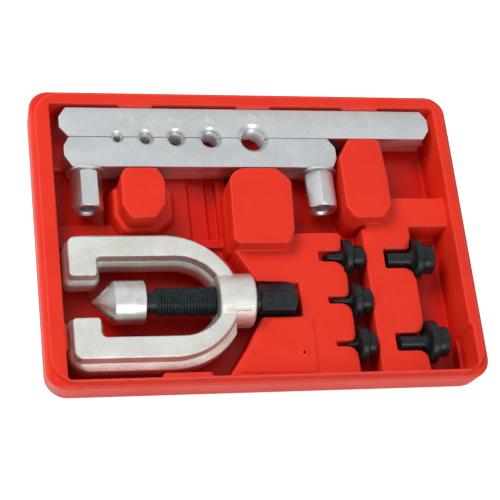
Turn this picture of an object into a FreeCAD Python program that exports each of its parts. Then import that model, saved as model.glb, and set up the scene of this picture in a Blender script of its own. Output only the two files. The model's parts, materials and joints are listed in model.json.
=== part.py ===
"""Double flaring tool kit in its storage tray: split die bars, yoke with forcing screw, and five adapters.

Row frame in millimetres: +X runs along the tray, +Y points from the yoke to the die bars, +Z is up.
The origin is the centre of the tray's underside.
"""

import FreeCAD, Part
import math
import os

V = FreeCAD.Vector
INCH = 25.4

# ---- tray ----
TRAY_LENGTH = 220.0
TRAY_WIDTH = 157.8
TRAY_HEIGHT = 22.6
TRAY_CORNER = 10.0
TRAY_DRAFT = 0.6
TRAY_BOTTOM_ROUND = 6.0
TRAY_FLOOR = 1.5
LID_STEP_DEPTH = 2.6
LID_STEP_WIDTH = 2.4
EDGE_EASE = 0.7
CAVITY_LEFT, CAVITY_RIGHT = -100.0, 102.0
CAVITY_FRONT, CAVITY_BACK = -75.0, 70.6
CAVITY_CORNER = 1.5
RIGHT_WALL_DRAFT = 3.0
PILLAR_TOP = 24.2
PILLAR_BACK = 34.4
PILLAR_ROUND = 0.9
FOOT_TOP = 7.0
TOE_TOP = 12.0
DECK_TOP = 16.0
RAISED_DECK_TOP = 16.8
LOW_DECK_TOP = 5.2
STEP_TOP = 3.4
DEEP = 3.0
BLOCK_FOOT = TRAY_FLOOR - 0.5
IN_WALL = 15.0
TONGUE_END = 44.4
STRIP_LEFT, STRIP_RIGHT = 55.6, 80.8

# ---- die bars ----
BAR_BOTTOM = 7.5
BAR_THICKNESS = 13.6
BAR_TOP = BAR_BOTTOM + BAR_THICKNESS
SPLIT_Y = 52.8
SPLIT_GAP = 0.3
LONG_BACK = 69.2
SHORT_FRONT = 36.2
BAR_END_ROUND = 1.5
# tube size in inches, bore centre along the bars, outer diameter of the finished 45 degree flare
TUBES = (
    (3 / 16, -66.8, 7.1),
    (1 / 4, -52.3, 9.1),
    (5 / 16, -36.9, 10.7),
    (3 / 8, -19.1, 12.4),
    (1 / 2, 3.2, 16.5),
)
GRIP_PITCH = 1.25
GRIP_DEPTH = 0.22

# ---- clamp studs and nuts ----
STUD_X = {"left": -83.5, "right": 36.7}
NUT_TURN = {"left": 36.0, "right": 50.0}
STUD_Z = BAR_BOTTOM + BAR_THICKNESS / 2
STUD_RADIUS = 5 / 16 * INCH / 2
STUD_TIP_Y = 23.0
STUD_SEAT_Y = 63.5
STUD_CLEARANCE = 0.4
WASHER_RADIUS = 9.5
WASHER_THICKNESS = 1.5
NUT_FLATS = 9 / 16 * INCH
NUT_LENGTH = 19.8
RUNNING = 0.05
DOWEL_RADIUS = 2.0
DOWEL_X = {"left": -75.2, "right": 21.0}
DOWEL_REACH = 6.5

# ---- yoke and forcing screw, about an axis along X ----
AXIS_Y = -34.3
AXIS_Z = 15.2
YOKE_BOTTOM = 5.8
YOKE_TOP = 24.2
# section of the yoke's arms: height, and how far the outer and the inner side stand out there
YOKE_LEVELS = (
    (YOKE_BOTTOM, -0.3, -0.6),
    (6.6, 1.6, 0.8),
    (8.2, 3.0, 1.7),
    (10.4, 3.8, 2.2),
    (15.7, 3.9, 2.2),
    (16.4, 3.6, 2.0),
    (18.6, 0.6, 0.4),
    (23.6, 0.0, 0.0),
    (YOKE_TOP, -0.6, -0.5),
)
HEEL_ROUND = 4.0
HEEL_SPREAD = 1.7
TIP_ROUND = 1.8
INNER_FILLET = 2.6
YOKE_LEFT = -96.3
HOOK_RIGHT = -82.9
HOOK_TIP = 10.8
ARM_INNER = 20.7
ARM_OUTER = 31.4
OUTER_BEND = 36.0
OUTER_BEND_X = -49.0
INNER_BEND = 23.0
INNER_BEND_X = -44.0
BOSS_LEFT, BOSS_RIGHT = -25.0, -6.6
BOSS_RADIUS = 13.3
BOSS_ROUND = 1.6
CROTCH = BOSS_LEFT + 0.5
OUTER_END = BOSS_LEFT + 9.0
SCREW_RADIUS = 9 / 16 * INCH / 2
SCREW_PITCH = INCH / 18
SCREW_ROOT = SCREW_RADIUS - 0.6 * SCREW_PITCH
THREAD_SINK = 0.15
THREAD_GAP = 0.02
CREST_SHARE = 0.06
THREAD_LEFT, THREAD_RIGHT = -54.4, -4.6
NECK_RADIUS = 5.75
HEX_FLATS = 9 / 16 * INCH
HEX_LEFT, HEX_RIGHT = -3.2, 14.9
HEX_TURN = -3.0
HEX_CHAMFER_SLOPE = 0.8
CONE_TIP = -86.3
CONE_SHOULDER = -75.1
CONE_RADIUS = 10.7
CONE_BACK = -60.4
SPIGOT_RADIUS = 4.0
SPIGOT_END = -67.0
BALL_RADIUS = INCH / 8
RING_X = -63.2
RING_WIRE = 0.6

# ---- double flaring adapters, each lying along X ----
ADAPTER_Z = 13.6
# name: tip x, axis y, pilot radius at the tip and at its root, front of the disc behind the tip,
#       disc thickness, disc radius, hub radius, overall length
ADAPTERS = {
    "adapter_3_16": (39.5, -57.8, 0.8, 1.1, 5.8, 3.6, 9.1, 6.5, 14.3),
    "adapter_1_4": (35.3, -34.7, 1.2, 1.5, 9.9, 3.6, 9.1, 6.2, 19.8),
    "adapter_5_16": (35.5, -10.9, 1.6, 2.2, 8.4, 3.5, 9.0, 6.1, 18.8),
    "adapter_3_8": (66.8, -12.6, 3.6, 3.65, 13.6, 3.6, 10.3, 7.6, 24.3),
    "adapter_1_2": (66.95, -57.6, 3.4, 3.45, 14.2, 4.0, 10.9, 7.6, 24.9),
}
BELL_ROUND = 2.8
DISC_BEVEL = 0.45
HUB_BEVEL = 0.9
HUB_GROOVE = 0.5
# the slot moulded for each pilot: how far it starts before the tip, and half its width
SLOTS = {
    "adapter_3_16": (3.4, 1.4),
    "adapter_1_4": (2.5, 1.8),
    "adapter_5_16": (4.7, 2.8),
    "adapter_3_8": (1.4, 5.2),
    "adapter_1_2": (2.3, 4.7),
}


# ---------------------------------------------------------------- small helpers
def rounded_wire(corners, z, grow=0.0):
    """Closed wire through (x, y, radius) corners listed anticlockwise, every side moved outwards by grow."""
    count = len(corners)
    sides = []
    for i in range(count):
        x0, y0, _ = corners[i]
        x1, y1, _ = corners[(i + 1) % count]
        length = math.hypot(x1 - x0, y1 - y0)
        ux, uy = (x1 - x0) / length, (y1 - y0) / length
        sides.append((V(x0 + uy * grow, y0 - ux * grow, z), V(ux, uy, 0)))
    points = [meet(sides[i - 1], sides[i]) for i in range(count)]
    starts, ends, middles = [], [], []
    for i in range(count):
        before, after = sides[i - 1][1], sides[i][1]
        turn = before.x * after.y - before.y * after.x
        radius = max(corners[i][2] + math.copysign(grow, turn), 0.05)
        half = math.atan2(turn, before.dot(after)) / 2
        reach = radius * abs(math.tan(half))
        start, end = points[i] - before * reach, points[i] + after * reach
        inward = (after - before).normalize()
        middle = points[i] + inward * (radius / math.cos(half) - radius)
        starts.append(start)
        ends.append(end)
        middles.append(middle)
    edges = []
    for i in range(count):
        edges.append(Part.Arc(starts[i], middles[i], ends[i]).toShape())
        edges.append(Part.makeLine(ends[i], starts[(i + 1) % count]))
    return Part.Wire(edges)


def meet(first, second):
    """Crossing point of two lines, each given as (point, direction), in one horizontal plane."""
    (p, u), (q, w) = first, second
    cross = u.x * w.y - u.y * w.x
    along = ((q.x - p.x) * w.y - (q.y - p.y) * w.x) / cross
    return p + u * along


def corners_of(points, radius):
    return [(x, y, radius) for x, y in points]


def rectangle(x0, y0, x1, y1, radius):
    return corners_of(((x0, y0), (x1, y0), (x1, y1), (x0, y1)), radius)


def stack(corners, levels):
    """Solid whose outline grows or shrinks from one (z, grow) level to the next."""
    wires = [rounded_wire(corners, z, grow) for z, grow in levels]
    return join([Part.makeLoft([a, b], True, True) for a, b in zip(wires, wires[1:])])


def join(shapes):
    shapes = list(shapes)
    if len(shapes) == 1:
        return shapes[0]
    return shapes[0].fuse(shapes[1:]).removeSplitter()


def solid_of(shape):
    """The one solid inside a boolean's result."""
    solids = shape.Solids
    if len(solids) != 1:
        raise ValueError("expected one solid, got %d" % len(solids))
    return solids[0]


def turned(profile, origin, axis):
    """Solid of revolution of (along, radius) points about an axis through origin."""
    side = V(0, 0, 1) if abs(axis.z) < 0.5 else V(1, 0, 0)
    points = [origin + axis * along + side * radius for along, radius in profile]
    face = Part.Face(Part.makePolygon(points + points[:1]))
    return solid_of(face.revolve(origin, axis, 360))


def rod(origin, axis, start, end, radius):
    return Part.makeCylinder(radius, end - start, origin + axis * start, axis)


def hexagon(origin, axis, start, end, flats, turn):
    """Hexagonal bar along axis, its ends chamfered; turn is the angle in degrees from +Z to a corner."""
    corner = flats / 2 / math.cos(math.pi / 6)
    up = V(0, 0, 1)
    across = axis.cross(up)
    points = []
    for k in range(7):
        angle = math.radians(turn + 60 * k)
        spoke = up * math.cos(angle) + across * math.sin(angle)
        points.append(origin + axis * start + spoke * corner)
    bar = Part.Face(Part.makePolygon(points)).extrude(axis * (end - start))
    clear = corner + 0.05
    inner = flats / 2 - 0.2
    drop = (clear - inner) * HEX_CHAMFER_SLOPE
    envelope = turned(
        ((start, 0), (start, inner), (start + drop, clear), (end - drop, clear), (end, inner), (end, 0)),
        origin, axis)
    return solid_of(bar.common(envelope))


# ---------------------------------------------------------------- tray
def tray_shell():
    """Moulded tub with rounded bottom edges and a step round the rim where the lid sits."""
    half_length, half_width = TRAY_LENGTH / 2, TRAY_WIDTH / 2
    outline = rectangle(-half_length, -half_width, half_length, half_width, TRAY_CORNER)
    levels = []
    steps = 4
    for k in range(steps + 1):
        angle = math.pi / 2 * k / steps
        rise = TRAY_BOTTOM_ROUND * (1 - math.cos(angle))
        inset = TRAY_BOTTOM_ROUND * (1 - math.sin(angle)) + TRAY_DRAFT
        levels.append((rise, -inset))
    flange = TRAY_HEIGHT - LID_STEP_DEPTH
    levels.append((flange - EDGE_EASE, 0))
    levels.append((flange, -EDGE_EASE))
    tub = stack(outline, levels)
    lip = stack(outline, ((flange, -LID_STEP_WIDTH), (TRAY_HEIGHT - EDGE_EASE / 2, -LID_STEP_WIDTH),
                          (TRAY_HEIGHT, -LID_STEP_WIDTH - EDGE_EASE / 2)))
    cavity = rectangle(CAVITY_LEFT, CAVITY_FRONT, CAVITY_RIGHT, CAVITY_BACK, CAVITY_CORNER)
    hollow = stack(cavity, ((TRAY_FLOOR, -1.0), (TRAY_HEIGHT - EDGE_EASE, 0), (TRAY_HEIGHT + 0.1, EDGE_EASE)))
    return join((tub, lip)).cut(hollow)


def island(corners, top, grow):
    """Drafted block rising from the tray floor, its top edge eased."""
    return stack(corners, ((BLOCK_FOOT, grow), (top - EDGE_EASE, 0.15), (top, -EDGE_EASE)))


def pillar(corners, flare):
    """Tall block: a flared foot below the bars, steep sides above it and a rounded top edge."""
    third = 0.3 * PILLAR_ROUND
    levels = ((BLOCK_FOOT, flare), (FOOT_TOP, 0.2), (PILLAR_TOP - PILLAR_ROUND, 0.1),
              (PILLAR_TOP - third, -third), (PILLAR_TOP, -PILLAR_ROUND))
    return stack(corners, levels)


def pillars():
    """The three tall pillars between the bars and the other tools, and the low toes of two of them."""
    left = ((-67.7, 14, 4), (-64, 6.6, 3.5), (-51.5, 7.4, 3.5), (-46.2, 14.5, 4), (-45.4, 26.8, 4),
            (-48.7, PILLAR_BACK, 3), (-64.9, PILLAR_BACK, 3), (-67.4, 30, 2))
    left_toe = ((-70, 14, 3.5), (-65.5, 5.2, 4), (-49.5, 5.2, 4), (-41, 13, 4), (-40.4, 29, 3),
                (-69.6, 29, 2))
    middle = ((-13.9, -7.2, 4), (14.6, -7.2, 2.5), (17.9, 0, 3), (19.3, 27.2, 3), (12.4, PILLAR_BACK, 3),
              (-12.4, PILLAR_BACK, 9))
    middle_toe = ((-14.2, -7.4, 3.5), (14.6, -7.6, 3), (19.5, -1, 3), (20.6, 27, 3), (-13.4, 27, 3))
    right = ((46.7, 13, 4), (50.6, 6.4, 4), (65.8, 6.8, 4), (70.7, 13.5, 4), (70.8, 30, 6), (69.4, 51.4, 2.5),
             (52.8, 51.4, 3), (46.7, 41, 4))
    yield pillar(left, 0.9)
    yield island(left_toe, TOE_TOP, 3.4)
    yield pillar(middle, 0.9)
    yield island(middle_toe, TOE_TOP, 0.9)
    yield pillar(right, 1.8)


def decks():
    """Flat decks between the pockets: the middle one holds three adapters, the right one two."""
    middle = ((-12.5, -5), (-11.2, -9), (-1.4, -25.7), (-1.4, -42), (-10.1, -57.5), (-24, -77),
              (34, -77), (34, 1.9), (15, 1.9), (12, -5))
    plate = ((-18.9, -72.2), (22.8, -73.2), (23.5, -44.2), (1.2, -44.2), (-9.3, -58))
    yield island(corners_of(middle, 0.6), DECK_TOP, 0.8)
    yield island(corners_of(plate, 1.5), RAISED_DECK_TOP, 0)
    for tongue in tongues():
        yield tongue_block(30, TONGUE_END, *tongue)
    yield island(rectangle(STRIP_LEFT, -77, 66.5, 4, 0.4), DECK_TOP, 0.4)
    for tongue in right_tongues():
        yield tongue_block(66, STRIP_RIGHT, *tongue)
    yield island(rectangle(57.3, -6.2, 80.6, 8, 4.0), RAISED_DECK_TOP, 0)
    yield island(rectangle(58, 4.7, CAVITY_RIGHT + 1, 20.9, 1.5), RAISED_DECK_TOP, 0.6)
    yield island(rectangle(57.5, CAVITY_FRONT - IN_WALL, 76.5, -70.5, 3.5), RAISED_DECK_TOP, 0)


def tongue_block(start, end, low, high, low_round, high_round):
    corners = ((start, low, 0.4), (end, low, low_round), (end, high, high_round), (start, high, 0.4))
    return island(corners, DECK_TOP, 0.4)


def slot_sides(name):
    """Low and high y of the slot for an adapter's pilot."""
    axis_y, half = ADAPTERS[name][1], SLOTS[name][1]
    return axis_y - half, axis_y + half


def tongues():
    """Deck tongues between the slots of the three smaller adapters: low y, high y and their corner radii."""
    first, second, third = (slot_sides(name) for name in ("adapter_5_16", "adapter_1_4", "adapter_3_16"))
    yield first[1], 1.9, 3.2, 3.0
    yield second[1], first[0], 3.2, 7.0
    yield third[1], second[0], 3.2, 5.2
    yield -77, third[0], 0.4, 5.2


def right_tongues():
    """The same beside the slots of the two larger adapters."""
    first, second = (slot_sides(name) for name in ("adapter_3_8", "adapter_1_2"))
    yield first[1], 4, 4.0, 0.4
    yield second[1], first[0], 6.0, 6.0
    yield -77, second[0], 0.4, 5.0


def shelves():
    """Low decks: the one the bars lie on, the stepped floor between the pillars, and pads under the yoke."""
    yield island(rectangle(CAVITY_LEFT - IN_WALL, 41, 44, CAVITY_BACK + IN_WALL, 0.6), BAR_BOTTOM, 0)
    yield island(rectangle(43, 57, CAVITY_RIGHT + 2, CAVITY_BACK + IN_WALL, 0.6), BAR_BOTTOM, 0)
    yield island(rectangle(CAVITY_LEFT - IN_WALL, -1, -46, 12, 0.6), LOW_DECK_TOP, 0.3)
    yield island(rectangle(-47, -1, -12, 3.6, 0.6), LOW_DECK_TOP, 0.3)
    yield island(rectangle(-47, 3, -30.5, 42, 0.6), LOW_DECK_TOP, 0.3)
    yield stack(rectangle(-32, 3, -21.3, 42, 0.6), ((BLOCK_FOOT, 0.3), (STEP_TOP, 0)))
    yield island(rectangle(-15.6, 3, -10, 42, 0.6), LOW_DECK_TOP, 0.3)
    for side in (1, -1):
        middle = AXIS_Y + side * (ARM_INNER + ARM_OUTER) / 2
        yield island(rectangle(-72, middle - 3, -56, middle + 3, 0.6), YOKE_BOTTOM, 0.2)


def wall_bumps():
    """The right wall's draft, and small bumps on the walls that keep the bars and the yoke from rattling."""
    top = TRAY_HEIGHT - 0.8
    for x0, x1 in ((-65, -48), (-4, 14), (53, 72)):
        yield island(rectangle(x0, CAVITY_BACK - 1.0, x1, CAVITY_BACK + IN_WALL, 0.4), top, 0.1)
    yield island(rectangle(CAVITY_LEFT - IN_WALL, -60, CAVITY_LEFT + 0.9, -47, 0.5), top, 0.1)
    yield island(rectangle(-55, CAVITY_FRONT - IN_WALL, -31, CAVITY_FRONT + 2.2, 1.5), top, 0.3)
    wall = rectangle(CAVITY_RIGHT, CAVITY_FRONT - IN_WALL, CAVITY_RIGHT + IN_WALL, CAVITY_BACK + IN_WALL, 0.4)
    yield stack(wall, ((BLOCK_FOOT, RIGHT_WALL_DRAFT), (top, -0.1)))


def adapter_pockets():
    """Room below each adapter: a slot under its pilot and a wider pocket under its disc and hub."""
    height = PILLAR_TOP
    for name, (tip, axis_y, _, pilot, front, _, disc, _, length) in ADAPTERS.items():
        lead, slot_half = SLOTS[name]
        slot_floor = ADAPTER_Z - pilot - 0.6
        yield Part.makeBox(lead + front, 2 * slot_half, height, V(tip - lead, axis_y - slot_half, slot_floor))
        half = disc + 0.4
        yield Part.makeBox(length - front + 0.7, 2 * half, height, V(tip + front - 0.5, axis_y - half, DEEP))


def corner_recess():
    """Shallow relief in the right wall near the front corner."""
    corners = rectangle(CAVITY_RIGHT - 18, CAVITY_FRONT + 0.5, CAVITY_RIGHT + 1.5, -50.5, 2.5)
    return stack(corners, ((FOOT_TOP, -2.0), (TRAY_HEIGHT - EDGE_EASE, 0), (TRAY_HEIGHT + 0.1, EDGE_EASE)))


def blow_hole():
    """Raised ring round the small hole that the tray was blown through."""
    centre = V(16.5, -62.5, 0)
    ring = Part.makeCylinder(1.9, RAISED_DECK_TOP + 0.7, centre)
    hole = Part.makeCylinder(0.9, 6, centre + V(0, 0, RAISED_DECK_TOP - 4))
    return ring, hole


def hex_pocket():
    corners = ((-12, -43.2), (18.3, -43.0), (18.3, -25.6), (-12, -24.0))
    return stack(corners_of(corners, 0.6), ((DEEP, 0), (RAISED_DECK_TOP + 1, 0.3)))


def make_tray():
    ring, hole = blow_hole()
    half_length, half_width = TRAY_LENGTH / 2, TRAY_WIDTH / 2
    envelope = rectangle(-half_length, -half_width, half_length, half_width, TRAY_CORNER)
    keep = stack(envelope, ((BLOCK_FOOT, -4.4), (LOW_DECK_TOP, -2.8), (PILLAR_TOP + 1, -2.8)))
    blocks = [b for group in (pillars(), decks(), shelves(), wall_bumps()) for b in group] + [ring]
    inner = join(blocks).common(keep)
    inner = inner.cut(list(adapter_pockets()) + [hex_pocket(), hole])
    return solid_of(join((tray_shell(), inner)).cut(corner_recess()))


# ---------------------------------------------------------------- die set
def die_bores():
    """Cutters for the five tube bores: grip rings inside and a 45 degree flare seat at the top."""
    for tube, x, flare in TUBES:
        bore, seat = tube * INCH / 2, flare / 2
        seat_bottom = BAR_TOP - (seat - bore)
        profile = [(BAR_BOTTOM - 1, 0), (BAR_BOTTOM - 1, bore)]
        z = BAR_BOTTOM + GRIP_PITCH
        while z + GRIP_PITCH < seat_bottom:
            profile += [(z, bore), (z + GRIP_DEPTH, bore + GRIP_DEPTH), (z + 2 * GRIP_DEPTH, bore)]
            z += GRIP_PITCH
        profile += [(seat_bottom, bore), (BAR_TOP, seat), (BAR_TOP + 1, seat + 1), (BAR_TOP + 1, 0)]
        yield turned(profile, V(x, SPLIT_Y, 0), V(0, 0, 1))


def bar(corners):
    outline = rounded_wire(corners_of(corners, BAR_END_ROUND), BAR_BOTTOM)
    return Part.Face(outline).extrude(V(0, 0, BAR_THICKNESS)).cut(list(die_bores()))


def cross_rod(x, start, end, radius):
    """Rod across the bars at mid height."""
    return rod(V(x, 0, STUD_Z), V(0, 1, 0), start, end, radius)


def make_long_bar():
    face = SPLIT_Y + SPLIT_GAP / 2
    body = bar(((-91.6, face), (95.0, face), (98.6, 58.2), (98.6, 64.2), (95.3, LONG_BACK),
                (-92.0, LONG_BACK), (-95.7, 63.8), (-95.7, 58.0)))
    start = SPLIT_Y - 1
    holes = [cross_rod(x, start, STUD_SEAT_Y, STUD_RADIUS) for x in STUD_X.values()]
    holes += [cross_rod(x, start, SPLIT_Y + DOWEL_REACH, DOWEL_RADIUS) for x in DOWEL_X.values()]
    return solid_of(body.cut(holes))


def make_short_bar():
    face = SPLIT_Y - SPLIT_GAP / 2
    body = bar(((-90.5, SHORT_FRONT), (43.4, SHORT_FRONT), (45.9, 41.2), (45.9, 47.4),
                (42.3, face), (-91.2, face), (-94.1, 47.6), (-94.1, 42.2)))
    start, depth = SHORT_FRONT - 1, DOWEL_REACH + 0.5
    holes = [cross_rod(x, start, SPLIT_Y, STUD_RADIUS + STUD_CLEARANCE) for x in STUD_X.values()]
    holes += [cross_rod(x, SPLIT_Y - depth, SPLIT_Y, DOWEL_RADIUS + RUNNING) for x in DOWEL_X.values()]
    return solid_of(body.cut(holes))


def make_stud(x):
    bevel = 0.8
    profile = ((STUD_TIP_Y, 0), (STUD_TIP_Y, STUD_RADIUS - bevel), (STUD_TIP_Y + bevel, STUD_RADIUS),
               (STUD_SEAT_Y, STUD_RADIUS), (STUD_SEAT_Y, 0))
    return turned(profile, V(x, 0, STUD_Z), V(0, 1, 0))


def make_dowel(x):
    bevel = 0.4
    low, high = SPLIT_Y - DOWEL_REACH, SPLIT_Y + DOWEL_REACH
    profile = ((low, 0), (low, DOWEL_RADIUS - bevel), (low + bevel, DOWEL_RADIUS), (high, DOWEL_RADIUS),
               (high, 0))
    return turned(profile, V(x, 0, STUD_Z), V(0, 1, 0))


def make_washer(x):
    low, high = SHORT_FRONT - WASHER_THICKNESS, SHORT_FRONT
    inner, ease = STUD_RADIUS + 0.3, 0.25
    profile = ((low, inner), (low, WASHER_RADIUS - ease), (low + ease, WASHER_RADIUS),
               (high - ease, WASHER_RADIUS), (high, WASHER_RADIUS - ease), (high, inner))
    return turned(profile, V(x, 0, STUD_Z), V(0, 1, 0))


def make_nut(side):
    origin, axis = V(STUD_X[side], 0, STUD_Z), V(0, 1, 0)
    back = SHORT_FRONT - WASHER_THICKNESS
    front = back - NUT_LENGTH
    body = hexagon(origin, axis, front, back, NUT_FLATS, NUT_TURN[side])
    bore = STUD_RADIUS + RUNNING
    mouth = 1.4
    cutter = turned(((front - 1, 0), (front - 1, bore + mouth + 1), (front + mouth, bore), (back + 1, bore),
                     (back + 1, 0)), origin, axis)
    return solid_of(body.cut(cutter))


# ---------------------------------------------------------------- yoke
def yoke_outline(outer_grow, inner_grow):
    """Outline of the two hooked arms seen from above, its outer and inner sides moved outwards, at z = 0."""
    left, hook = YOKE_LEFT - inner_grow, HOOK_RIGHT + inner_grow
    tip, inner, outer = HOOK_TIP - inner_grow, ARM_INNER - inner_grow, ARM_OUTER + outer_grow
    fillet = round_corner((hook, inner), (1, 0), (0, -1), INNER_FILLET - inner_grow)
    right_tip = round_corner((hook, tip), (0, 1), (-1, 0), TIP_ROUND + inner_grow)
    left_tip = round_corner((left, tip), (1, 0), (0, 1), TIP_ROUND + inner_grow)
    heel = round_corner((left, outer), (0, -1), (1, 0), HEEL_ROUND + HEEL_SPREAD * outer_grow)
    inner_arc = bend(INNER_BEND_X, ARM_INNER - INNER_BEND, INNER_BEND - inner_grow, CROTCH)
    outer_arc = bend(OUTER_BEND_X, ARM_OUTER - OUTER_BEND, OUTER_BEND + outer_grow, OUTER_END)
    half = (
        ((CROTCH, 0), inner_arc[2]),
        inner_arc[::-1],
        (inner_arc[0], fillet[0]),
        fillet,
        (fillet[2], right_tip[0]),
        right_tip,
        (right_tip[2], left_tip[0]),
        left_tip,
        (left_tip[2], heel[0]),
        heel,
        (heel[2], outer_arc[0]),
        outer_arc,
        (outer_arc[2], (OUTER_END, 0)),
    )
    edges = []
    for side in (1, -1):
        for step in half:
            points = [V(x, AXIS_Y + side * y, 0) for x, y in step]
            edges.append(Part.Arc(*points).toShape() if len(points) == 3 else Part.makeLine(*points))
    return Part.Wire(Part.__sortEdges__(edges))


def round_corner(corner, before, after, radius):
    """Start, middle and end of the arc that rounds a square corner; before and after point away from it."""
    (x, y), (bx, by), (ax, ay) = corner, before, after
    cut = radius * (1 - math.sqrt(0.5))
    start, end = (x + bx * radius, y + by * radius), (x + ax * radius, y + ay * radius)
    return start, (x + (bx + ax) * cut, y + (by + ay) * cut), end


def bend(centre_x, centre_y, radius, end_x):
    """Start, middle and end of the arc that leaves the top of a circle and runs right to end_x."""
    end = math.acos((end_x - centre_x) / radius)
    angles = (math.pi / 2, (end + math.pi / 2) / 2, end)
    return tuple((centre_x + radius * math.cos(a), centre_y + radius * math.sin(a)) for a in angles)


def yoke_arms():
    """Solids between the yoke's outlines at successive levels."""
    wires = []
    for z, outer_grow, inner_grow in YOKE_LEVELS:
        wire = yoke_outline(outer_grow, inner_grow)
        wire.translate(V(0, 0, z))
        wires.append(wire)
    return [Part.makeLoft([a, b], True, True) for a, b in zip(wires, wires[1:])]


def make_yoke():
    """Forged yoke: a wide lower body, a narrower upper one above a sloping ledge, and the screw's boss."""
    origin, axis = V(0, AXIS_Y, AXIS_Z), V(1, 0, 0)
    boss = rod(origin, axis, BOSS_LEFT, BOSS_RIGHT, BOSS_RADIUS)
    boss = boss.makeFillet(BOSS_ROUND, [e for e in boss.Edges if e.Closed])
    bore = rod(origin, axis, YOKE_LEFT / 2, BOSS_RIGHT + 1, SCREW_RADIUS + RUNNING)
    return solid_of(join(yoke_arms() + [boss]).cut(bore))


# ---------------------------------------------------------------- forcing screw and cone
def threaded_rod(origin, start, end):
    """Right-hand V thread along +X: a ridge swept along a helix round a core, its two ends chamfered."""
    length = end - start
    base = SCREW_ROOT - THREAD_SINK
    foot, crest = SCREW_PITCH / 2 - THREAD_GAP, SCREW_PITCH * CREST_SHARE
    helix = Part.makeHelix(SCREW_PITCH, length + 2 * SCREW_PITCH, base)
    profile = Part.makePolygon([V(base, 0, -foot), V(SCREW_RADIUS, 0, -crest), V(SCREW_RADIUS, 0, crest),
                                V(base, 0, foot), V(base, 0, -foot)])
    sweep = Part.BRepOffsetAPI.MakePipeShell(Part.Wire(helix.Edges))
    sweep.setFrenetMode(True)
    sweep.add(profile, False, False)
    sweep.build()
    sweep.makeSolid()
    ridge = sweep.shape()
    core = Part.makeCylinder(SCREW_ROOT, length + 4 * SCREW_PITCH, V(0, 0, -SCREW_PITCH))
    bevel, crest_clear = SCREW_RADIUS - SCREW_ROOT, SCREW_RADIUS + 0.01
    envelope = turned(((0, 0), (0, SCREW_ROOT), (bevel, crest_clear), (length - bevel, crest_clear),
                       (length, SCREW_ROOT), (length, 0)), V(0, 0, SCREW_PITCH), V(0, 0, 1))
    thread = core.fuse(ridge).common(envelope)
    thread.translate(V(0, 0, -SCREW_PITCH))
    thread.rotate(V(0, 0, 0), V(0, 1, 0), 90)
    thread.translate(origin + V(start, 0, 0))
    return thread


def make_forcing_screw():
    origin, axis = V(0, AXIS_Y, AXIS_Z), V(1, 0, 0)
    thread = threaded_rod(origin, THREAD_LEFT, THREAD_RIGHT)
    groove, half = SPIGOT_RADIUS - 0.75, RING_WIRE + 0.15
    neck_left = CONE_BACK + 0.15
    nose = turned((
        (SPIGOT_END, 0), (SPIGOT_END, SPIGOT_RADIUS - 0.5), (SPIGOT_END + 0.5, SPIGOT_RADIUS),
        (RING_X - half, SPIGOT_RADIUS), (RING_X - half, groove), (RING_X + half, groove),
        (RING_X + half, SPIGOT_RADIUS), (neck_left, SPIGOT_RADIUS), (neck_left, NECK_RADIUS),
        (THREAD_LEFT - 0.6, NECK_RADIUS), (THREAD_LEFT, SCREW_ROOT), (THREAD_LEFT, 0)), origin, axis)
    collar = rod(origin, axis, THREAD_RIGHT, HEX_LEFT, SCREW_ROOT)
    head = hexagon(origin, axis, HEX_LEFT, HEX_RIGHT, HEX_FLATS, HEX_TURN)
    return solid_of(thread.fuse([nose, collar, head]))


def make_cone():
    origin, axis = V(0, AXIS_Y, AXIS_Z), V(1, 0, 0)
    bore, groove, half = SPIGOT_RADIUS + RUNNING, SPIGOT_RADIUS + 0.55, RING_WIRE
    seat = SPIGOT_END - 2 * BALL_RADIUS
    ease, tip_flat = 0.15, 0.25
    return turned((
        (CONE_TIP + tip_flat, 0), (CONE_TIP + tip_flat, tip_flat), (CONE_SHOULDER - ease, CONE_RADIUS - ease),
        (CONE_SHOULDER + ease, CONE_RADIUS), (CONE_BACK - 0.4, CONE_RADIUS), (CONE_BACK, CONE_RADIUS - 0.4),
        (CONE_BACK, bore), (RING_X + half, bore), (RING_X + half, groove), (RING_X - half, groove),
        (RING_X - half, bore), (SPIGOT_END - BALL_RADIUS, bore), (seat + 0.5, BALL_RADIUS - 0.6),
        (seat - 0.1, 0.6), (seat - 0.1, 0)), origin, axis)


def make_ball():
    return Part.makeSphere(BALL_RADIUS - 0.05, V(SPIGOT_END - BALL_RADIUS, AXIS_Y, AXIS_Z))


def make_retaining_ring():
    """Open wire ring that snaps into the grooves of the cone and of the screw's spigot."""
    centre = V(RING_X, AXIS_Y, AXIS_Z)
    mean = SPIGOT_RADIUS - 0.05
    ring = Part.makeTorus(mean, RING_WIRE - 0.05, centre, V(1, 0, 0))
    gap = Part.makeBox(4, 1.6, 8, centre + V(-2, -0.8, -8))
    return solid_of(ring.cut(gap))


# ---------------------------------------------------------------- adapters
def make_adapter(tip, axis_y, nose, pilot, front, thickness, disc, hub, length):
    """Pilot, bell-shaped fillet, forming disc and hub, turned from one bar along X."""
    back = front + thickness
    start = front - BELL_ROUND
    nose_bevel = 0.3
    profile = [(0, 0), (0, nose - nose_bevel), (nose_bevel, nose), (start, pilot)]
    steps = 6
    for k in range(1, steps + 1):
        angle = math.pi / 2 * k / steps
        profile.append((start + BELL_ROUND * math.sin(angle), pilot + BELL_ROUND * (1 - math.cos(angle))))
    profile += [
        (front, disc - DISC_BEVEL), (front + DISC_BEVEL, disc), (back - DISC_BEVEL, disc),
        (back, disc - DISC_BEVEL), (back, hub - HUB_GROOVE), (back + HUB_GROOVE, hub - HUB_GROOVE),
        (back + 2 * HUB_GROOVE, hub), (length - HUB_BEVEL, hub), (length, hub - HUB_BEVEL), (length, 0)]
    return turned(profile, V(tip, axis_y, ADAPTER_Z), V(1, 0, 0))


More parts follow.
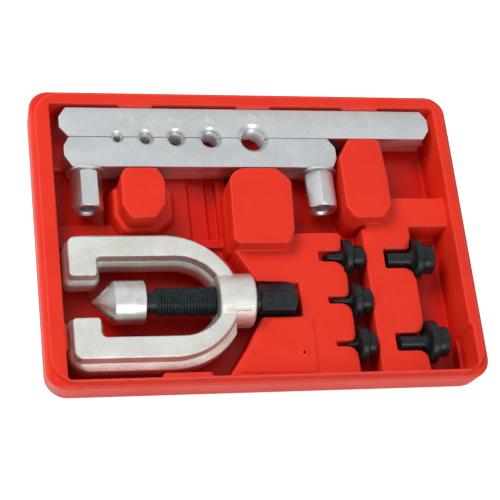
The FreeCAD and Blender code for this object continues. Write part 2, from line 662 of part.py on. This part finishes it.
# ---------------------------------------------------------------- export
def all_parts():
    parts = {"tray": make_tray(), "long_die_bar": make_long_bar(), "short_die_bar": make_short_bar()}
    for side in ("left", "right"):
        parts[side + "_stud"] = make_stud(STUD_X[side])
        parts[side + "_dowel"] = make_dowel(DOWEL_X[side])
        parts[side + "_washer"] = make_washer(STUD_X[side])
        parts[side + "_clamp_nut"] = make_nut(side)
    parts["yoke"] = make_yoke()
    parts["forcing_screw"] = make_forcing_screw()
    parts["flaring_cone"] = make_cone()
    parts["thrust_ball"] = make_ball()
    parts["retaining_ring"] = make_retaining_ring()
    for name, sizes in ADAPTERS.items():
        parts[name] = make_adapter(*sizes)
    return parts


def main():
    os.makedirs("parts", exist_ok=True)
    for name, shape in all_parts().items():
        print(name, "valid" if shape.isValid() else "INVALID", "%.1f mm3" % shape.Volume)
        shape.exportStep("parts/" + name + ".step")


main()
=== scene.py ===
"""Looks of the double flaring tool kit: materials, rounded edges, surface details, light and camera."""

import json
import math

import bmesh
import bpy
from mathutils import Matrix, Vector


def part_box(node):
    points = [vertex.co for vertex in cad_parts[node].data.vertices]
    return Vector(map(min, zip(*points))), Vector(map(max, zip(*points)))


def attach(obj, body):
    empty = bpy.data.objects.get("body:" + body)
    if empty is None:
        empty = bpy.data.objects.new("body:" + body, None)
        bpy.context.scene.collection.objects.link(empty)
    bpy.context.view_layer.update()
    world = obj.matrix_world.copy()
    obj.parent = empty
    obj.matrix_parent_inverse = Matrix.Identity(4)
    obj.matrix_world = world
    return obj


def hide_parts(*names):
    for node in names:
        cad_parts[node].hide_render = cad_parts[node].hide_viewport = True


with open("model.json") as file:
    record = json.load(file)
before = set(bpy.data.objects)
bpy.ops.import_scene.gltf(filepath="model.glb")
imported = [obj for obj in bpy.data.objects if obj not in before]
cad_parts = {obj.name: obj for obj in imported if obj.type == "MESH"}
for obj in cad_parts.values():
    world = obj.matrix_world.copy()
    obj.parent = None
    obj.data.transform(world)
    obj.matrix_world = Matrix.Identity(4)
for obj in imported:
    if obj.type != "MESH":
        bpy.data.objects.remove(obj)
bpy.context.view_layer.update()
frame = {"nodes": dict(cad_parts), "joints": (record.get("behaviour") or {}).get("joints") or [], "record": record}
NODES = frame["nodes"]
MM = 0.001

STEEL_BARS = ("long_die_bar", "short_die_bar")
PLATED = ("left_stud", "right_stud", "left_dowel", "right_dowel", "left_washer", "right_washer",
          "left_clamp_nut", "right_clamp_nut")
TURNED = ("flaring_cone", "thrust_ball")
ADAPTERS = ("adapter_3_16", "adapter_1_4", "adapter_5_16", "adapter_3_8", "adapter_1_2")
# for each tube size: radius of the flare seat, and the low left corner of its stamp from the bore's centre
TUBES = {
    "3/16": (3.55 * MM, 1.2 * MM, 8.4 * MM),
    "1/4": (4.55 * MM, -1.3 * MM, 6.4 * MM),
    "5/16": (5.35 * MM, -2.7 * MM, 7.2 * MM),
    "3/8": (6.2 * MM, -1.9 * MM, 7.8 * MM),
    "1/2": (8.25 * MM, -2.0 * MM, 9.8 * MM),
}
STAMP_TALL = 3.2 * MM
SMALL_STAMP_TALL = 0.8 * STAMP_TALL
STAMP_HEIGHT = 0.035 * MM
TEETH_PITCH = 0.8 * MM
TEETH_DEPTH = 0.3 * MM
TEETH_BACKING = 0.05 * MM
# y and z of the forcing screw's axis, and what lies along it
SCREW_AXIS = next(joint["pos_m"][1:] for joint in frame["joints"] if joint["name"] == "screw_turn")
BOSS_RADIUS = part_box("yoke")[1].z - SCREW_AXIS[1]
CONE_SHOULDER = -75.1 * MM
CONE_BORE = 4.2 * MM
SEAM_ANGLE = math.radians(41)
SEAM_STATIONS = (-21.6, -19, -16.5, -14, -11.5, -9.6)

# camera, in metres and millimetres of focal length for a sensor 36 mm wide
CAMERA_PLACE = (-0.208902, -0.332163, 0.734153)
CAMERA_RIGHT = (0.967901, -0.111183, 0.225400)
CAMERA_UP = (0.008171, 0.910273, 0.413927)
FOCAL_LENGTH = 118.286
SENSOR_WIDTH = 36.0
FLOOR_HALF = 6.0
FLOOR_GAP = 0.05 * MM
# direction of the bright patch that shiny surfaces mirror
PATCH_WAY = Vector((-0.55, 0.35, 0.76)).normalized()


def bores():
    """Tube size, centre x and y, and radius of each bore between the bars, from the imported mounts."""
    for mount in frame["record"]["mounts"]:
        if mount["kind"] == "clamp":
            size = mount["name"].removeprefix("tube_clamp_").replace("_", "/")
            x, y, _ = mount["pos_m"]
            yield size, x, y, mount["dims"]["r_mm"] * MM


# ---------------------------------------------------------------- node helpers
def add(tree, kind, values=None, **props):
    """New shader node; values are socket name or number to a constant or to the socket that feeds it."""
    node = tree.nodes.new("ShaderNode" + kind)
    for key, value in props.items():
        setattr(node, key, value)
    for socket, value in (values or {}).items():
        if isinstance(value, bpy.types.NodeSocket):
            tree.links.new(value, node.inputs[socket])
        else:
            node.inputs[socket].default_value = value
    return node


def math_node(tree, operation, a, b=0.0):
    return add(tree, "Math", {0: a, 1: b}, operation=operation).outputs[0]


def ramp(tree, value, low, high, out_low=0.0, out_high=1.0):
    """Smooth step of value from low to high."""
    node = add(tree, "MapRange", {"Value": value, "From Min": low, "From Max": high, "To Min": out_low,
                                  "To Max": out_high}, interpolation_type="SMOOTHSTEP")
    return node.outputs["Result"]


def noise(tree, where, scale, detail=3.0, roughness=0.5, stretch=None):
    """Noise of about scale cells a metre, stretched along the axes if stretch is given."""
    if stretch:
        where = add(tree, "Mapping", {"Vector": where, "Scale": stretch}).outputs[0]
    return add(tree, "TexNoise", {"Vector": where, "Scale": scale, "Detail": detail,
                                  "Roughness": roughness}).outputs["Fac"]


def mix(tree, factor, a, b):
    node = add(tree, "Mix", {0: factor, 6: a, 7: b}, data_type="RGBA")
    return node.outputs[2]


def bump(tree, height, distance, strength=1.0, normal=None):
    values = {"Height": height, "Distance": distance, "Strength": strength}
    if normal:
        values["Normal"] = normal
    return add(tree, "Bump", values).outputs[0]


def near_edge(tree, radius):
    """1 beside sharp edges and 0 on open faces, by how far a rounding of that radius turns the normal."""
    round_ = add(tree, "Bevel", {"Radius": radius}, samples=4).outputs[0]
    flat = add(tree, "NewGeometry").outputs["True Normal"]
    same = add(tree, "VectorMath", {0: round_, 1: flat}, operation="DOT_PRODUCT").outputs["Value"]
    return ramp(tree, same, 0.99, 0.90)


def new_material(name, roughness, metallic=0.0, specular=0.5):
    material = bpy.data.materials.new(name)
    material.use_nodes = True
    tree = material.node_tree
    shader = tree.nodes["Principled BSDF"]
    shader.inputs["Metallic"].default_value = metallic
    shader.inputs["Roughness"].default_value = roughness
    shader.inputs["Specular IOR Level"].default_value = specular
    where = add(tree, "TexCoord").outputs["Object"]
    return material, tree, shader, where


def feed(tree, shader, **sockets):
    for name, socket in sockets.items():
        tree.links.new(socket, shader.inputs[name.replace("_", " ")])


def linear(red, green, blue):
    """Linear colour of an 8-bit display colour."""
    def one(value):
        value /= 255
        return value / 12.92 if value <= 0.04045 else ((value + 0.055) / 1.055) ** 2.4
    return one(red), one(green), one(blue), 1.0


# ---------------------------------------------------------------- materials
def tray_plastic():
    """Blow-moulded red plastic: fine grain, slow waviness, scuffed and paler on the outer walls."""
    material, tree, shader, where = new_material("moulded_red_plastic", 0.42, specular=0.3)
    low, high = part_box("tray")
    xyz = add(tree, "SeparateXYZ", {0: where}).outputs
    across = math_node(tree, "SUBTRACT", math_node(tree, "ABSOLUTE", xyz[0]), high.x)
    along = math_node(tree, "SUBTRACT", math_node(tree, "ABSOLUTE", xyz[1]), high.y)
    edge = math_node(tree, "MAXIMUM", across, along)
    outer = ramp(tree, edge, -1.9 * MM, -1.1 * MM)
    cloud = noise(tree, where, 38, 4, 0.55)
    grain = noise(tree, where, 1700, 3, 0.65)
    fleck = noise(tree, where, 3200, 2, 0.6)
    colour = mix(tree, ramp(tree, cloud, 0.35, 0.65), linear(227, 47, 29), linear(232, 53, 34))
    # painted shade: the red turns darker and deeper towards the pocket floors, low in the tray
    painted_shade_low = ramp(tree, xyz[2], 3 * MM, 15 * MM, 0.9, 0.0)
    colour = mix(tree, painted_shade_low, colour, linear(197, 21, 8))
    # paler on sharp edges: partly wear, partly a painted highlight on the lips and rims
    edge_wear_and_highlight = ramp(tree, add(tree, "NewGeometry").outputs["Pointiness"], 0.505, 0.56)
    colour = mix(tree, math_node(tree, "MULTIPLY", edge_wear_and_highlight, 0.45), colour, linear(246, 92, 78))
    pale = math_node(tree, "MULTIPLY", ramp(tree, fleck, 0.40, 0.60, 0.25, 0.8), outer)
    colour = mix(tree, pale, colour, linear(232, 82, 68))
    speck = ramp(tree, noise(tree, where, 900, 1, 0.4), 0.79, 0.83)
    colour = mix(tree, math_node(tree, "MULTIPLY", speck, 0.4), colour, linear(250, 150, 138))
    rough = math_node(tree, "ADD", ramp(tree, cloud, 0.3, 0.7, 0.36, 0.46),
                      math_node(tree, "MULTIPLY", outer, 0.12))
    wave = bump(tree, noise(tree, where, 90, 2, 0.4), 0.25 * MM, 0.5)
    depth = math_node(tree, "ADD", math_node(tree, "MULTIPLY", outer, 2.2), 0.3)
    fine = bump(tree, math_node(tree, "MULTIPLY", grain, depth), 0.09 * MM, 0.8, wave)
    feed(tree, shader, Base_Color=colour, Roughness=rough, Normal=fine)
    return material


def plated_steel(name, tone, roughness, streak=(0.04, 1.0, 1.0), grain_depth=0.01 * MM):
    """Satin plated steel with faint stains, fine scratches drawn out along streak, and a few pits."""
    material, tree, shader, where = new_material(name, roughness, metallic=1.0)
    stain = noise(tree, where, 70, 6, 0.62)
    lines = noise(tree, where, 2200, 2, 0.6, streak)
    mottle = noise(tree, where, 1300, 3, 0.7)
    pits = noise(tree, where, 420, 1, 0.3)
    dark = tuple(c * 0.90 for c in tone[:3]) + (1.0,)
    colour = mix(tree, ramp(tree, stain, 0.3, 0.7), dark, tone)
    colour = mix(tree, ramp(tree, mottle, 0.45, 0.62, 0.0, 0.22), colour, linear(236, 240, 242))
    pit = ramp(tree, pits, 0.80, 0.84)
    colour = mix(tree, math_node(tree, "MULTIPLY", pit, 0.4), colour, (0.25, 0.25, 0.25, 1.0))
    rough = math_node(tree, "ADD", ramp(tree, stain, 0.3, 0.7, roughness + 0.05, roughness - 0.05),
                      math_node(tree, "MULTIPLY", math_node(tree, "SUBTRACT", lines, 0.5), 0.25))
    normal = bump(tree, lines, grain_depth, 0.6, bump(tree, mottle, 0.012 * MM, 0.6))
    feed(tree, shader, Base_Color=colour, Roughness=rough, Normal=normal)
    return material


def forged_steel():
    """Plated forging: a sparkling cast grain under the plating, with slow lumps and a few dark pores."""
    material, tree, shader, where = new_material("plated_forging", 0.35, metallic=0.82, specular=0.6)
    grain = noise(tree, where, 1500, 5, 0.75)
    lumps = noise(tree, where, 150, 3, 0.5)
    stain = noise(tree, where, 60, 5, 0.6)
    pores = noise(tree, where, 620, 2, 0.5)
    colour = mix(tree, ramp(tree, stain, 0.3, 0.7), linear(217, 216, 208), linear(234, 234, 230))
    colour = mix(tree, ramp(tree, pores, 0.66, 0.72, 0.0, 0.3), colour, linear(150, 147, 140))
    rough = ramp(tree, grain, 0.3, 0.7, 0.24, 0.46)
    first = bump(tree, lumps, 0.30 * MM, 0.5)
    normal = bump(tree, grain, 0.28 * MM, 1.0, first)
    feed(tree, shader, Base_Color=colour, Roughness=rough, Normal=normal)
    return material


def turned_steel():
    """Turned steel: fine rings round the X axis."""
    material, tree, shader, where = new_material("turned_steel", 0.3, metallic=1.0)
    rings = noise(tree, where, 5200, 2, 0.7, (1.0, 0.01, 0.01))
    bands = noise(tree, where, 900, 1, 0.5, (1.0, 0.01, 0.01))
    stain = noise(tree, where, 160, 4, 0.6)
    colour = mix(tree, ramp(tree, stain, 0.3, 0.7), linear(212, 210, 207), linear(228, 227, 225))
    colour = mix(tree, ramp(tree, bands, 0.4, 0.6, 0.0, 0.10), colour, linear(170, 164, 160))
    rough = ramp(tree, rings, 0.3, 0.7, 0.25, 0.36)
    normal = bump(tree, rings, 0.003 * MM, 0.5)
    feed(tree, shader, Base_Color=colour, Roughness=rough, Normal=normal)
    return material


def black_oxide():
    """Black oxide steel: blue-black, faintly oily, rubbed to bare metal at sharp edges."""
    material, tree, shader, where = new_material("black_oxide", 0.32, specular=0.24)
    stain = noise(tree, where, 220, 5, 0.6)
    grain = noise(tree, where, 2600, 2, 0.6)
    colour = mix(tree, ramp(tree, stain, 0.3, 0.7), linear(16, 23, 26), linear(30, 38, 42))
    worn = math_node(tree, "MULTIPLY", near_edge(tree, 0.3 * MM), ramp(tree, grain, 0.35, 0.6, 0.05, 0.4))
    colour = mix(tree, worn, colour, linear(140, 146, 148))
    rough = ramp(tree, stain, 0.3, 0.7, 0.18, 0.34)
    normal = bump(tree, grain, 0.02 * MM, 0.7)
    feed(tree, shader, Base_Color=colour, Roughness=rough, Normal=normal)
    return material


def assign(material, *names):
    for name in names:
        node = NODES[name]
        for slot in node.material_slots:
            slot.link = "OBJECT"
            slot.material = material


# ---------------------------------------------------------------- rounded edges
def smooth_group(angle):
    """Geometry node group that shades smooth everywhere but over edges sharper than angle."""
    group = bpy.data.node_groups.new("smooth_by_angle", "GeometryNodeTree")
    group.interface.new_socket("Geometry", in_out="INPUT", socket_type="NodeSocketGeometry")
    group.interface.new_socket("Geometry", in_out="OUTPUT", socket_type="NodeSocketGeometry")
    nodes, links = group.nodes, group.links
    source, sink = nodes.new("NodeGroupInput"), nodes.new("NodeGroupOutput")
    faces, edges = nodes.new("GeometryNodeSetShadeSmooth"), nodes.new("GeometryNodeSetShadeSmooth")
    edges.domain = "EDGE"
    bend, test = nodes.new("GeometryNodeInputMeshEdgeAngle"), nodes.new("FunctionNodeCompare")
    test.operation = "LESS_THAN"
    test.inputs[1].default_value = angle
    links.new(source.outputs[0], faces.inputs["Geometry"])
    links.new(bend.outputs["Unsigned Angle"], test.inputs[0])
    links.new(faces.outputs[0], edges.inputs["Geometry"])
    links.new(test.outputs[0], edges.inputs["Shade Smooth"])
    links.new(edges.outputs[0], sink.inputs[0])
    return group


SHARP = math.radians(28)
FLAT = math.radians(1)
WELD = 0.002 * MM
SMOOTH = smooth_group(SHARP)


def ease(name, width, segments=2):
    """Rounds a CAD node's sharp edges by width, in metres, without touching its mesh."""
    node = NODES[name]
    weld = node.modifiers.new("weld", "WELD")
    weld.merge_threshold = WELD
    plane = node.modifiers.new("planar", "DECIMATE")
    plane.decimate_type = "DISSOLVE"
    plane.angle_limit = FLAT
    bevel = node.modifiers.new("bevel", "BEVEL")
    bevel.width = width
    bevel.segments = segments
    bevel.limit_method = "ANGLE"
    bevel.angle_limit = SHARP
    bevel.miter_outer = "MITER_ARC"
    shade = node.modifiers.new("shade", "NODES")
    shade.node_group = SMOOTH


def soften(name, voxel, repeat):
    """Moulded look: every edge of a CAD node, raised or sunken, melts into a small fillet."""
    node = NODES[name]
    remesh = node.modifiers.new("remesh", "REMESH")
    remesh.mode = "VOXEL"
    remesh.voxel_size = voxel
    remesh.use_smooth_shade = True
    relax = node.modifiers.new("relax", "SMOOTH")
    relax.factor = 0.5
    relax.iterations = repeat


# ---------------------------------------------------------------- raised lines
# strokes of plain figures, in a cell 0.6 wide and 1 high
FIGURES = {
    "1": (((0.12, 0.8), (0.32, 1.0), (0.32, 0.0)),),
    "2": (((0.02, 0.8), (0.14, 0.96), (0.32, 1.0), (0.5, 0.9), (0.54, 0.72), (0.04, 0.0), (0.6, 0.0)),),
    "3": (((0.03, 0.9), (0.24, 1.0), (0.48, 0.92), (0.5, 0.68), (0.26, 0.54), (0.52, 0.42), (0.56, 0.18),
           (0.3, 0.0), (0.02, 0.1)),),
    "4": (((0.44, 0.0), (0.44, 1.0), (0.0, 0.32), (0.6, 0.32)),),
    "5": (((0.54, 1.0), (0.1, 1.0), (0.06, 0.56), (0.34, 0.62), (0.56, 0.44), (0.54, 0.14), (0.28, 0.0),
           (0.02, 0.1)),),
    "6": (((0.5, 0.94), (0.28, 1.0), (0.08, 0.74), (0.03, 0.3), (0.2, 0.02), (0.46, 0.06), (0.56, 0.32),
           (0.4, 0.56), (0.1, 0.44)),),
    "8": (((0.3, 0.55), (0.08, 0.7), (0.1, 0.92), (0.3, 1.0), (0.5, 0.92), (0.52, 0.7), (0.3, 0.55),
           (0.56, 0.34), (0.52, 0.08), (0.3, 0.0), (0.08, 0.08), (0.04, 0.34), (0.26, 0.54)),),
}


def ridge(mesh, line, foot, crest, height, place):
    """Adds a low ridge along a flat line of (x, y); place turns (x, y, z) into a point in the frame."""
    rings = []
    for i, point in enumerate(line):
        here = Vector(point)
        before = (here - Vector(line[i - 1])).normalized() if i else None
        after = (Vector(line[i + 1]) - here).normalized() if i + 1 < len(line) else None
        way = ((before or after) + (after or before)).normalized()
        side = Vector((-way.y, way.x)) / max(way.dot(after or before), 0.6)
        ring = []
        for offset, z in ((-foot, -0.2 * height), (-crest, height), (crest, height), (foot, -0.2 * height)):
            spot = here + side * offset
            ring.append(mesh.verts.new(place(spot.x, spot.y, z)))
        rings.append(ring)
    for first, second in zip(rings, rings[1:]):
        for k in range(4):
            mesh.faces.new((first[k], first[(k + 1) % 4], second[(k + 1) % 4], second[k]))
    mesh.faces.new(rings[0][::-1])
    mesh.faces.new(rings[-1])


def piece(name, mesh, material, body):
    """Object of a bmesh that moves with a body."""
    bmesh.ops.recalc_face_normals(mesh, faces=mesh.faces)
    data = bpy.data.meshes.new(name)
    mesh.to_mesh(data)
    mesh.free()
    data.materials.append(material)
    obj = bpy.data.objects.new(name, data)
    bpy.context.scene.collection.objects.link(obj)
    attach(obj, body)
    return obj


def stamp(name, signs, top, material):
    """Size figures on the die set, drawn as the low burrs of a stamp; signs are (figure, x, y, height)."""
    mesh = bmesh.new()
    for figure, x0, y0, tall in signs:
        for stroke in FIGURES[figure]:
            line = [(x0 + x * tall, y0 + y * tall) for x, y in stroke]
            ridge(mesh, line, 0.17 * MM, 0.07 * MM, STAMP_HEIGHT, lambda x, y, z: (x, y, top + z))
    piece(name, mesh, material, "die_set")


def stamp_sizes(material):
    """The tube size beside each bore: a raised numerator, a slash and a lowered denominator."""
    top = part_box("long_die_bar")[1].z
    for size, bore_x, bore_y, _ in bores():
        _, right, back = TUBES[size]
        x, y = bore_x + right, bore_y + back
        over, under = size.split("/")
        tall = STAMP_TALL if size == "3/16" else SMALL_STAMP_TALL
        width = 0.72 * tall
        signs = [(over, x, y + 0.5 * tall, tall)]
        signs += [(figure, x + (1.7 + k) * width, y, tall) for k, figure in enumerate(under)]
        stamp("stamp_" + size.replace("/", "_"), signs, top, material)
        mesh = bmesh.new()
        line = ((x + 0.95 * width, y + 0.1 * tall), (x + 1.65 * width, y + 1.35 * tall))
        ridge(mesh, line, 0.15 * MM, 0.06 * MM, STAMP_HEIGHT, lambda a, b, z: (a, b, top + z))
        piece("slash_" + size.replace("/", "_"), mesh, material, "die_set")


def lathe(name, profile, axis, material, body):
    """Round piece about the line along X at axis (y, z); profile is (x, radius), its ends on the line."""
    steps = 144
    mesh = bmesh.new()
    rings = []
    for x, radius in profile[1:-1]:
        turns = [2 * math.pi * k / steps for k in range(steps)]
        rings.append([mesh.verts.new((x, axis[0] + radius * math.cos(t), axis[1] + radius * math.sin(t)))
                      for t in turns])
    for first, second in zip(rings, rings[1:]):
        for k in range(steps):
            after = (k + 1) % steps
            mesh.faces.new((first[k], first[after], second[after], second[k]))
    for end, ring in ((profile[0], rings[0]), (profile[-1], rings[-1])):
        pole = mesh.verts.new((end[0], axis[0], axis[1]))
        for k in range(steps):
            mesh.faces.new((pole, ring[k], ring[(k + 1) % steps]))
    obj = piece(name, mesh, material, body)
    obj.modifiers.new("shade", "NODES").node_group = SMOOTH
    return obj


def polished_cone(material):
    """The flaring cone with a blunt point, a small rounding at the shoulder and bevels at its back."""
    tip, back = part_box("flaring_cone")[0].x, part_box("flaring_cone")[1].x
    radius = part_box("flaring_cone")[1].z - SCREW_AXIS[1]
    slope = math.atan2(radius - 0.25 * MM, CONE_SHOULDER - tip)
    profile = [(tip, 0), (tip, 0.2 * MM), (tip + 0.12 * MM, 0.34 * MM)]
    steps = 5
    rounding = 0.5 * MM
    for k in range(steps + 1):
        angle = slope * (1 - k / steps)
        profile.append((CONE_SHOULDER + rounding * (1 - k / steps) * -0.6 + rounding * k / steps * 0.5,
                        radius - rounding * (1 - math.cos(angle)) * 0.6))
    profile += [(back - 0.5 * MM, radius), (back - 0.15 * MM, radius - 0.15 * MM), (back, radius - 0.5 * MM),
                (back, CONE_BORE), (back - 6 * MM, CONE_BORE), (back - 8 * MM, 0)]
    obj = lathe("polished_cone", profile, SCREW_AXIS, material, "cone")
    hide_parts("flaring_cone")


def grip_teeth(name, bar, body, start, material):
    """Fine gripping rings round one half of every bore; start is the angle where the half begins."""
    low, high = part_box(bar)
    mesh = bmesh.new()
    steps = 28
    margin = 0.05
    for size, x, y, bore in bores():
        seat = TUBES[size][0]
        bottom, top = low.z + 0.2 * MM, high.z - (seat - bore) - 0.1 * MM
        count = int((top - bottom) / TEETH_PITCH)
        wall = [(bore - TEETH_DEPTH * (k % 2), bottom + k * TEETH_PITCH / 2) for k in range(2 * count + 1)]
        wall += [(bore + TEETH_BACKING, wall[-1][1]), (bore + TEETH_BACKING, bottom)]
        rings = []
        for i in range(steps + 1):
            angle = start + margin + (math.pi - 2 * margin) * i / steps
            rings.append([mesh.verts.new((x + r * math.cos(angle), y + r * math.sin(angle), z))
                          for r, z in wall])
        for first, second in zip(rings, rings[1:]):
            for k in range(len(wall)):
                after = (k + 1) % len(wall)
                mesh.faces.new((first[k], first[after], second[after], second[k]))
        mesh.faces.new(rings[0][::-1])
        mesh.faces.new(rings[-1])
    piece(name, mesh, material, body)


def boss_seam(material):
    """Trimmed parting seam of the forging along the front of the yoke's boss."""
    centre = Vector((0, *SCREW_AXIS))
    out = Vector((0, -math.sin(SEAM_ANGLE), math.cos(SEAM_ANGLE)))
    along = Vector((1, 0, 0))
    round_ = out.cross(along)
    mesh = bmesh.new()
    line = [(x * MM, 0.15 * MM * math.sin(9 * k)) for k, x in enumerate(SEAM_STATIONS)]

    def place(x, y, z):
        return centre + along * x + round_ * y + out * (BOSS_RADIUS + z)

    ridge(mesh, line, 0.9 * MM, 0.15 * MM, 0.4 * MM, place)
    piece("boss_seam", mesh, material, "yoke")


# ---------------------------------------------------------------- camera, light and floor
def aim(obj, place, right, up):
    """Puts obj at place with its local X and Y along right and up."""
    x, y = Vector(right).normalized(), Vector(up).normalized()
    z = x.cross(y).normalized()
    y = z.cross(x)
    turn = Matrix((x, y, z)).transposed().to_4x4()
    obj.matrix_world = Matrix.Translation(Vector(place)) @ turn


def look(obj, place, target):
    obj.location = place
    obj.rotation_euler = (Vector(target) - Vector(place)).to_track_quat("-Z", "Y").to_euler()


def lamp(name, place, size, power, mirrored=False):
    data = bpy.data.lights.new(name, "AREA")
    data.shape = "DISK"
    data.size = size
    data.energy = power
    light = bpy.data.objects.new(name, data)
    light.visible_glossy = mirrored
    bpy.context.scene.collection.objects.link(light)
    look(light, place, (0, 0, 0))


def make_camera():
    data = bpy.data.cameras.new("camera")
    data.sensor_width = SENSOR_WIDTH
    data.lens = FOCAL_LENGTH
    data.clip_start = 0.01
    data.clip_end = 20
    camera = bpy.data.objects.new("camera", data)
    bpy.context.scene.collection.objects.link(camera)
    aim(camera, CAMERA_PLACE, CAMERA_RIGHT, CAMERA_UP)
    bpy.context.scene.camera = camera


def white_floor():
    """Pale floor that the camera sees as white apart from the object's shadow."""
    half = FLOOR_HALF
    corners = [(-half, -half, 0), (half, -half, 0), (half, half, 0), (-half, half, 0)]
    mesh = bpy.data.meshes.new("floor")
    mesh.from_pydata(corners, [], [(0, 1, 2, 3)])
    floor = bpy.data.objects.new("floor", mesh)
    floor.location.z = -FLOOR_GAP
    bpy.context.scene.collection.objects.link(floor)
    material, tree, shader, where = new_material("pale_floor", 0.9, specular=0.1)
    shader.inputs["Base Color"].default_value = (0.86, 0.86, 0.86, 1.0)
    rays = add(tree, "LightPath").outputs
    seen = math_node(tree, "ADD", math_node(tree, "MULTIPLY", rays["Is Camera Ray"], 0.74),
                     math_node(tree, "MULTIPLY", rays["Is Glossy Ray"], 0.55))
    shader.inputs["Emission Color"].default_value = (1, 1, 1, 1)
    tree.links.new(seen, shader.inputs["Emission Strength"])
    floor.data.materials.append(material)


def make_world():
    """White studio: even to the camera, and a soft bright patch above the back left for shiny surfaces."""
    world = bpy.data.worlds.new("studio")
    bpy.context.scene.world = world
    world.use_nodes = True
    tree = world.node_tree
    rays = add(tree, "LightPath").outputs
    way = add(tree, "TexCoord").outputs["Generated"]
    facing = add(tree, "VectorMath", {0: way, 1: PATCH_WAY}, operation="DOT_PRODUCT").outputs["Value"]
    patch = ramp(tree, facing, 0.90, 0.985, 0.0, 0.5)
    height = ramp(tree, add(tree, "SeparateXYZ", {0: way}).outputs[2], 0.05, 0.75, 0.55, 0.88)
    mirrored = math_node(tree, "MULTIPLY", rays["Is Glossy Ray"], math_node(tree, "ADD", height, patch))
    seen = math_node(tree, "MAXIMUM", rays["Is Camera Ray"], rays["Is Transmission Ray"])
    spread = math_node(tree, "SUBTRACT", 1.0, math_node(tree, "MAXIMUM", seen, rays["Is Glossy Ray"]))
    strength = math_node(tree, "ADD", math_node(tree, "ADD", seen, mirrored),
                         math_node(tree, "MULTIPLY", spread, 0.27))
    background = tree.nodes["Background"]
    background.inputs["Color"].default_value = (1.0, 1.0, 1.0, 1.0)
    tree.links.new(strength, background.inputs["Strength"])


def make_light():
    lamp("key", (-0.85, 0.65, 1.3), 1.0, 21.5)
    lamp("fill", (0.3, -1.3, 1.0), 1.4, 1.8)
    lamp("front", (0.3, -1.2, 0.82), 0.9, 6, mirrored=True)


bars = plated_steel("satin_plating", linear(212, 216, 218), 0.45)
bright = plated_steel("bright_plating", linear(214, 216, 217), 0.36, (1.0, 1.0, 0.2))
assign(tray_plastic(), "tray")
assign(bars, *STEEL_BARS)
assign(bright, *PLATED)
forging = forged_steel()
assign(forging, "yoke")
turned = turned_steel()
assign(turned, *TURNED)
assign(plated_steel("spring_wire", linear(140, 144, 148), 0.35), "retaining_ring")
assign(black_oxide(), "forcing_screw", *ADAPTERS)

soften("tray", 0.5 * MM, 3)
for name in STEEL_BARS:
    ease(name, 0.22 * MM)
ease("yoke", 0.7 * MM, 3)
for name in PLATED + TURNED + ADAPTERS:
    ease(name, 0.15 * MM)

stamp_sizes(plated_steel("stamped_edge", linear(246, 248, 248), 0.3))
# the grip teeth are plated whiter than the bars: painted light that brightens the dim bores
painted_light_teeth = plated_steel("grip_teeth", linear(240, 241, 240), 0.3, grain_depth=0.02 * MM)
grip_teeth("teeth_back", "long_die_bar", "die_set", 0.0, painted_light_teeth)
grip_teeth("teeth_front", "short_die_bar", "clamp_jaw", math.pi, painted_light_teeth)
boss_seam(forging)
polished_cone(turned)

bpy.context.scene.view_settings.view_transform = "Standard"
white_floor()
make_world()
make_light()
make_camera()
